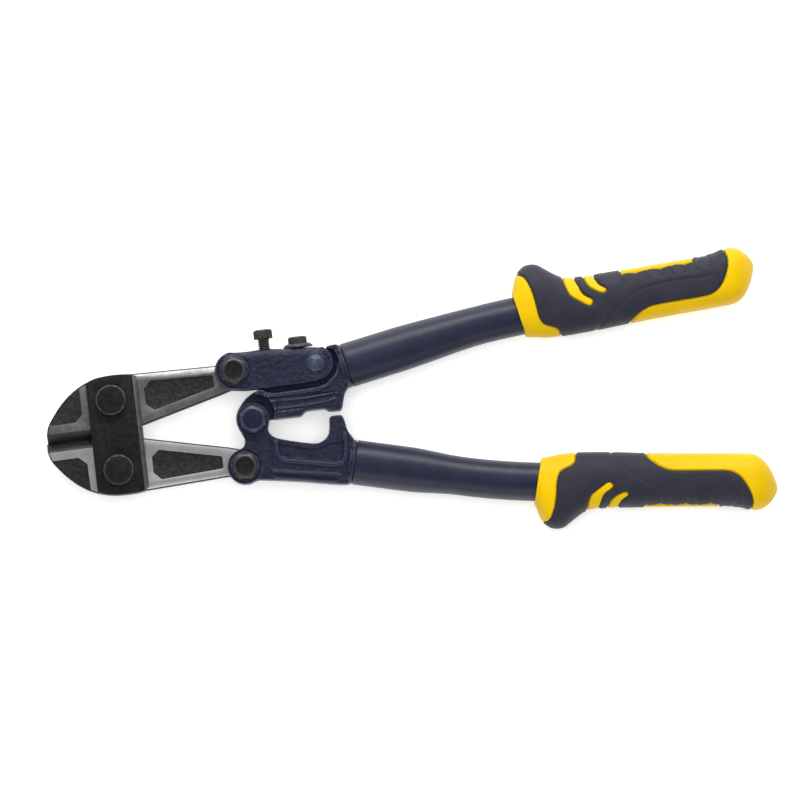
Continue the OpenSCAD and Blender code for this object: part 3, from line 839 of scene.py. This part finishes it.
def make_fasteners(paint, pale_paint, oxide, lit_oxide):
    skins = [oxide, lit_oxide]
    # The link bolts' rims take the lighter oxide: a painted highlight.
    make_link_bolt("upper_link_bolt", UPPER_LINK, "adjusting_arm", skins, 30)
    make_link_bolt("lower_link_bolt", LOWER_LINK, "lower_handle", skins, -4)
    # The centre bolt's chamfer takes the pale paint: a painted highlight.
    make_link_bolt("centre_bolt", CENTRE, "lower_handle", [paint, pale_paint], 30,
                   dished=False, rim=CENTRE_RIM)
    # The adjusting screw is all in the lighter oxide: a painted highlight.
    make_adjusting_screw(lit_oxide)
    machined("centre_nut_painted", "centre_nut", "lower_handle", [paint], 0.3)
    # The rivet is all in the pale paint: a painted highlight.
    machined("arm_rivet_painted", "arm_rivet", "upper_handle", [pale_paint], 0.3)
    # The lock bolt and its washer are in the lighter oxide too: a painted highlight.
    for node, body, skin in (("upper_link_nut", "adjusting_arm", oxide),
                             ("lower_link_nut", "lower_handle", oxide),
                             ("lock_bolt", "lock_bolt", lit_oxide)):
        machined(node + "_blackened", node, body, [skin], 0.25)
    machined("lock_washer_blackened", "lock_washer", "lock_bolt", [lit_oxide], 0.2,
             cut=trim_washer)


# ---------------------------------------------------------------- tubes

TUBE_R = 9.6             # radius where it meets its casting
NECK_R = 8.3             # radius beyond its taper
TUBE_WALL = 1.6
TUBE_LIP = 0.5           # rounding of its front end
BEND_FROM = 46           # length before the bend
BEND_R = 300
BEND = math.radians(7.5)
TUBE_TAIL = 75           # length after the bend, inside the grip
AROUND_TUBE = 72
TUBES = {    # start, direction, side that it bends to, body, and where it tapers
    "upper_tube": ((101.6, 18.6), math.radians(10.8), -1, "upper_handle", (20, 62)),
    "lower_tube": ((100.6, -22.9), math.radians(-13.9), 1, "lower_handle", (22, 46)),
}


def tube_line(s, start, direction, side):
    """Point and direction of a tube's middle line at s millimetres from its start."""
    along = np.array([math.cos(direction), math.sin(direction)])
    across = np.array([-along[1], along[0]]) * side
    turned = min(max(s - BEND_FROM, 0) / BEND_R, BEND)
    beyond = max(s - BEND_FROM - BEND_R * BEND, 0)
    point = np.array(start) + along * min(s, BEND_FROM)
    point = point + BEND_R * (along * math.sin(turned) + across * (1 - math.cos(turned)))
    heading = along * math.cos(turned) + across * math.sin(turned)
    return point + heading * beyond, heading


def make_tube(node, paint):
    """The tube as one smooth skin: swaged end, taper, bend and tail, and the same inside."""
    start, direction, side, body, taper = TUBES[node]
    end = BEND_FROM + BEND_R * BEND + TUBE_TAIL
    inside = [(float(s), -TUBE_WALL) for s in np.linspace(end, TUBE_LIP, 40)]
    mouth = [(0, -TUBE_WALL + TUBE_LIP), (0, -TUBE_LIP), (0.15, -0.15), (TUBE_LIP, 0)]
    outside = [(float(s), 0) for s in np.linspace(2, end, 70)]
    stations = mouth + outside + inside
    points = []
    for s, inset in stations:
        centre, heading = tube_line(s, start, direction, side)
        radius = TUBE_R - (TUBE_R - NECK_R) * float(smoothstep(s, *taper)) + inset
        sideways = np.array([-heading[1], heading[0]])
        for angle in np.arange(AROUND_TUBE) * 2 * math.pi / AROUND_TUBE:
            flat = centre + sideways * radius * math.cos(angle)
            points.append(place(flat[0], flat[1], radius * math.sin(angle)))
    mesh = bpy.data.meshes.new(node + "_painted")
    mesh.from_pydata(points, [], grid_faces(len(stations), AROUND_TUBE, closed_rows=True))
    tidy_normals(mesh)
    add_object(mesh.name, mesh, body, [paint], node)
    smooth_by_angle(mesh, 50)


# ---------------------------------------------------------------- grips
# Each grip has its own frame in millimetres: s along the grip, t outwards from the tool's centre
# line, and z up. The lower grip is the upper one's mirror image.

GRIPS = {    # start, direction, side of the tool, body, and how far the pattern is turned
    "upper": ((177, 31.6), math.radians(3.5), 1, "upper_handle", math.radians(6.5)),
    "lower": ((177, -39.5), math.radians(-6.2), -1, "lower_handle", math.radians(8.5)),
}
GRIP_HOLE_R = 8.7        # radius of the hole that the tube goes into
OUTER_EDGE = [(-1.2, 10), (0.3, 12.5), (2.7, 16.8), (5, 19.1), (7, 20.4), (9.6, 20.7), (12, 19.9),
              (14.5, 17.9), (18.3, 14.9), (21.2, 13.2), (26, 12.2), (36, 11.8), (62, 11.6),
              (84, 11.7), (90, 12.8), (93.5, 13.2)]
INNER_EDGE = [(-1.2, -9.9), (3, -10.7), (12, -11.8), (27, -12.1), (62, -11.6), (85, -11.5),
              (91, -11.3)]
HALF_THICK = [(-1.2, 9.9), (2, 10.7), (8, 10.9), (20, 10.9), (92, 10.9)]
BUTT_FROM, BUTT_TO, BUTT_T = 91.0, 103.25, 4.2    # the round end: from, to, and t of its tip
GRIP_ROUNDNESS = 0.86    # under 1 makes the section squarer than an ellipse
BUTT_ROUNDNESS = 0.7     # over 0.5 makes the end more pointed than an ellipse
COLLAR_LEAN = 0.17       # how far the collar's front face leans, for each millimetre across
LEAN_FROM_T, LEAN_TO_S = 10, 14    # t where it doesn't lean, and s where the lean has ended

# The yellow parts' outlines as (s, t), and the line of the crease in the sleeve
COLLAR = [(-6, -16), (-6, 17), (1.6, 17.6), (3.6, 17.6), (4.9, 16.7), (6.1, 14.8), (7.5, 10.5),
          (8.2, 5), (8.5, -1), (9.2, -3.8), (10.4, -5.6), (13, -6.9), (15.4, -8.2), (16.6, -10.2),
          (16.8, -16)]
BUTT = [(91.3, 20), (91.5, 12.9), (92.4, 10.3), (92, 6.5), (90.2, 2), (87.2, -2.6), (83.6, -5),
        (79, -5.5), (63, -5.3), (56.5, -5.5), (52.5, -7.3), (49.5, -9.3), (46.7, -11.9),
        (45, -16), (112, -16), (112, 20)]
LONG_CHEVRON = [(21.4, 15), (22.2, 9), (23, 6), (24, 4.6), (30.3, -0.5), (31.6, -0.4), (33.1, 1.7),
                (28.4, 5.1), (27.4, 9.5), (25.9, 13), (25.6, 15)]
SHORT_CHEVRON = [(29.6, 15), (31.2, 9), (33.2, 6.6), (36.3, 4.5), (38.2, 4.0), (39.5, 5.6),
                 (36.4, 7.8), (35.2, 10.2), (34.2, 13), (34, 15)]
CREASE_TOP = [(31.6, -12.5), (36, -8), (41.2, -4), (46.6, 0), (52.5, 2.5), (60, 3.7), (70, 3.9),
              (80, 3.3), (84.2, 3.9)]
CREASE_END = [(86.2, 6), (86.8, 8.8)]
STRIP_FROM, STRIP_TO = 46.5, 77.5
STRIP_T, STRIP_WAVE = 10.8, 0.28    # the strip's scalloped edge: its middle t, and its swing
BEYOND_T = 15                       # outside the grip's outer edge
FINGER_GAP = 10.7                   # from one finger rest to the next
FINGER_AT = [47.5 + FINGER_GAP * k for k in range(4)]


def finger_strip():
    """The yellow strip along the outer edge, with a notch at each finger rest."""
    along = np.linspace(STRIP_FROM, STRIP_TO, 60)
    wave = np.cos((along - FINGER_AT[0]) * 2 * math.pi / FINGER_GAP)
    edge = list(zip(along, STRIP_T + STRIP_WAVE * wave))
    return np.array([(STRIP_FROM - 1, BEYOND_T)] + edge + [(STRIP_TO + 1, BEYOND_T)])


YELLOW_REGIONS = [rounded(COLLAR), rounded(BUTT), rounded(LONG_CHEVRON), rounded(SHORT_CHEVRON),
                  finger_strip()]


def yellow_distance(flat):
    """Distance to the edge of the yellow parts in plan: positive on navy, negative on yellow."""
    best = np.full(len(flat), 1e9)
    for region in YELLOW_REGIONS:
        near = distance_to_path(flat, region, True)
        best = np.minimum(best, np.where(is_inside(flat, region), -near, near))
    return best


def edge_value(points, s, middle=BUTT_T):
    """The edge through the points at s; past the last point it rounds in to the middle."""
    line = curve(points)
    last = line[-1, 0]
    end = np.clip((s - last) / (BUTT_TO - last), 0, 1)
    away = np.interp(s, line[:, 0], line[:, 1]) - middle
    return middle + away * (1 - end ** 2) ** BUTT_ROUNDNESS


def grip_surface(s_values, around):
    """Grid of points (s, t, z) of the grip's outer form, and their outward directions."""
    s = np.repeat(s_values, around)
    angle = np.tile(np.arange(around) * 2 * math.pi / around, len(s_values))
    outer, inner = edge_value(OUTER_EDGE, s), edge_value(INNER_EDGE, s)
    thick = edge_value(HALF_THICK, s, 0)
    c, d = np.cos(angle), np.sin(angle)
    t = (outer + inner) / 2 + (outer - inner) / 2 * np.sign(c) * np.abs(c) ** GRIP_ROUNDNESS
    z = thick * np.sign(d) * np.abs(d) ** GRIP_ROUNDNESS
    lean = (LEAN_FROM_T - t) * COLLAR_LEAN * (1 - smoothstep(s, 0, LEAN_TO_S))
    points = np.stack([s + lean, t, z], axis=1)
    grid = points.reshape(len(s_values), around, 3)
    along = np.gradient(grid, axis=0)
    across = np.roll(grid, -1, axis=1) - np.roll(grid, 1, axis=1)
    normal = np.cross(across, along)
    normal /= np.maximum(np.linalg.norm(normal, axis=2, keepdims=True), 1e-9)
    outward = grid * (0, 1, 1)
    normal *= np.sign(np.sum(normal * outward, axis=2).mean())
    return points, normal.reshape(-1, 3)


def clipped_faces(faces, points, value):
    """The parts of the faces where value is positive, cut exactly where it passes through zero."""
    new_points, cuts, kept, new_index = [], {}, [], {}

    def keep(i):
        if i not in new_index:
            new_index[i] = len(new_points)
            new_points.append(points[i])
        return new_index[i]

    def cut(i, j):
        key = (min(i, j), max(i, j))
        if key not in cuts:
            u = value[key[0]] / (value[key[0]] - value[key[1]])
            cuts[key] = len(new_points)
            new_points.append(points[key[0]] + u * (points[key[1]] - points[key[0]]))
        return cuts[key]

    for face in faces:
        corners = []
        for k, i in enumerate(face):
            j = face[(k + 1) % len(face)]
            if value[i] > 0:
                corners.append(keep(i))
            if (value[i] > 0) != (value[j] > 0):
                corners.append(cut(i, j))
        if len(corners) > 2:
            kept.append(tuple(corners))
    return np.array(new_points), kept


def grip_world(points, grip):
    """Points of a grip's frame in the row frame."""
    (x, y), angle, side, _, _ = GRIPS[grip]
    c, d = math.cos(angle), math.sin(angle)
    s, t, z = points[:, 0], points[:, 1] * side, points[:, 2]
    return [place(*p) for p in np.stack([x + s * c - t * d, y + s * d + t * c, z], axis=1)]


S_STEPS = 230           # rings along the straight part of a grip
END_STEPS = 42          # rings along its round end
AROUND = 176            # points of a ring
SHELL_INSET = 0.18      # how far the shell lies inside the grip's outer form where it shows
SLEEVE_WALL = 1.0       # thickness of the soft sleeve
SHELL_SINK = 1.55       # how much deeper the shell lies under the sleeve
GROOVE = 0.35           # how far the groove beside the yellow lies outside the yellow's outline
LIP = 0.25              # how far the sleeve's rounded lip reaches into that groove
LIP_DEPTH = 0.75        # how far that lip rounds down
# The shell's front: share of the way in to the tube's hole, and how far the ring goes into it
COLLAR_FRONT = ((1.0, 30.0), (1.0, 1.2), (0.88, 0.35), (0.5, 0.0), (0.12, 0.1))
COLLAR_UPRIGHT = 0.4    # how much less the hole's rim leans than the collar does
CREASE_DEPTH, CREASE_WIDTH = 0.34, 0.55
PANEL_DEPTH = 0.22      # the panel inside the crease lies this much lower
REST_R, REST_DEPTH, REST_WIDTH = 3.4, 0.42, 0.5     # the curved groove behind each finger
REST_S, REST_T = 2.2, 8.6                           # its centre, from the finger and in t
REST_FROM_T = 6.5                                   # it is cut off on the inner side of this


def unrolled(points, grip):
    """Place of each surface point in the moulded pattern, in plan."""
    _, _, side, _, turn = GRIPS[grip]
    return np.stack([points[:, 0], points[:, 1] + side * points[:, 2] * math.tan(turn)], axis=1)


def make_grip(grip, yellow, navy):
    """The hard shell and the soft sleeve, from one surface that both share."""
    end = np.sin(np.linspace(0, 0.5, END_STEPS + 2)[1:-1] * math.pi)
    s_values = np.concatenate([np.linspace(OUTER_EDGE[0][0], BUTT_FROM, S_STEPS),
                               BUTT_FROM + (BUTT_TO - BUTT_FROM) * end])
    points, normals = grip_surface(s_values, AROUND)
    flat = unrolled(points, grip)
    gap = yellow_distance(flat) - GROOVE
    make_shell(grip, points, normals, gap, yellow)
    make_sleeve(grip, points, normals, flat, gap, navy)


def collar_front(front):
    """Rings that lead from the tube's hole out to the first ring of the collar."""
    across = front[:, 1:]
    hole = across / np.linalg.norm(across, axis=1, keepdims=True) * GRIP_HOLE_R
    rings = []
    for share, forward in COLLAR_FRONT:
        s = front[:, 0] * (1 - share * COLLAR_UPRIGHT) + forward
        rings.append(np.column_stack([s, hole * share + across * (1 - share)]))
    return rings


def make_shell(grip, points, normals, gap, yellow):
    """The hard shell: full size where it shows, and sunk under the sleeve."""
    sink = SHELL_INSET + SHELL_SINK * smoothstep(gap, -0.75, -0.2)
    shown = points - normals * sink[:, None]
    skin = np.vstack(collar_front(shown[:AROUND]) + [shown])
    tip = skin[-AROUND:].mean(axis=0)
    tip[0] = skin[-AROUND:, 0].max() + 0.1
    count = len(skin) // AROUND
    faces = grid_faces(count, AROUND)
    last = (count - 1) * AROUND
    faces += [(last + k, last + (k + 1) % AROUND, count * AROUND) for k in range(AROUND)]
    faces.append(tuple(range(AROUND)))
    mesh = bpy.data.meshes.new(f"{grip}_grip_shell_moulded")
    mesh.from_pydata(grip_world(np.vstack([skin, tip]), grip), [], faces)
    tidy_normals(mesh)
    body = GRIPS[grip][3]
    add_object(mesh.name, mesh, body, [yellow], f"{grip}_grip_shell")
    smooth_by_angle(mesh, 45)


def sleeve_relief(flat, gap):
    """How deep the sleeve's surface lies under the grip's outer form."""
    s, t = flat[:, 0], flat[:, 1]
    lip = LIP_DEPTH * (1 - smoothstep(gap, -LIP, 0.7)) ** 2
    crease = distance_to_path(flat, curve(CREASE_TOP + CREASE_END), False)
    groove = CREASE_DEPTH * np.exp(-(crease / CREASE_WIDTH) ** 2)
    above = smoothstep(t - np.interp(s, *zip(*CREASE_TOP)), -1.2, 0.3)
    panel = PANEL_DEPTH * (1 - above) * smoothstep(s, 34, 48) * smoothstep(90 - s, 0, 4)
    rests = np.zeros(len(flat))
    for finger in FINGER_AT:
        off = np.abs(np.hypot(s - finger - REST_S, t - REST_T) - REST_R)
        rest = REST_DEPTH * np.exp(-(off / REST_WIDTH) ** 2) * (t > REST_FROM_T)
        rests = np.maximum(rests, rest)
    return lip + groove + panel + rests


def make_sleeve(grip, points, normals, flat, gap, navy):
    """The soft sleeve: rounded where it ends at the yellow, with its crease and finger rests."""
    raised = points - normals * sleeve_relief(flat, gap)[:, None]
    faces = grid_faces(len(points) // AROUND, AROUND)
    cut_points, cut_faces = clipped_faces(faces, raised, gap + LIP)
    mesh = bpy.data.meshes.new(f"{grip}_grip_sleeve_moulded")
    mesh.from_pydata(grip_world(cut_points, grip), [], cut_faces)
    tidy_normals(mesh)
    body = GRIPS[grip][3]
    piece = add_object(mesh.name, mesh, body, [navy], f"{grip}_grip_sleeve")
    solid = piece.modifiers.new("wall", "SOLIDIFY")
    solid.thickness = SLEEVE_WALL * MM
    solid.offset = -1
    apply_modifiers(piece)
    smooth_by_angle(piece.data, 50)


# ---------------------------------------------------------------- the whole tool

def main():
    make_camera()
    make_stage()
    # The second oxide is painted lighter, as a painted highlight.
    oxide, lit_oxide = black_oxide(), highlight_oxide()
    # The jaws are one steel in two copies: the lower jaw's is painted lighter and the upper jaw's
    # darker, as painted light and shade.
    steel = ground_steel("ground_steel", (0.80, 0.775, 0.76), (1.0, 0.985, 0.965))
    shaded_steel = ground_steel("ground_steel_shaded", (0.26, 0.255, 0.25), (0.48, 0.47, 0.46))
    bevel = ground_steel("plate_bevel", (0.2, 0.195, 0.19), (0.42, 0.41, 0.4))
    make_head(steel, shaded_steel, forged_black(), edge_grind(), oxide, lit_oxide, bevel)
    make_castings(cast_paint("cast_paint", True))
    make_fasteners(cast_paint("bolt_paint", False), highlight_paint(), oxide, lit_oxide)
    smooth_paint = tube_paint()
    for node in TUBES:
        make_tube(node, smooth_paint)
    yellow, navy = yellow_plastic(), soft_navy()
    for grip in GRIPS:
        make_grip(grip, yellow, navy)


main()
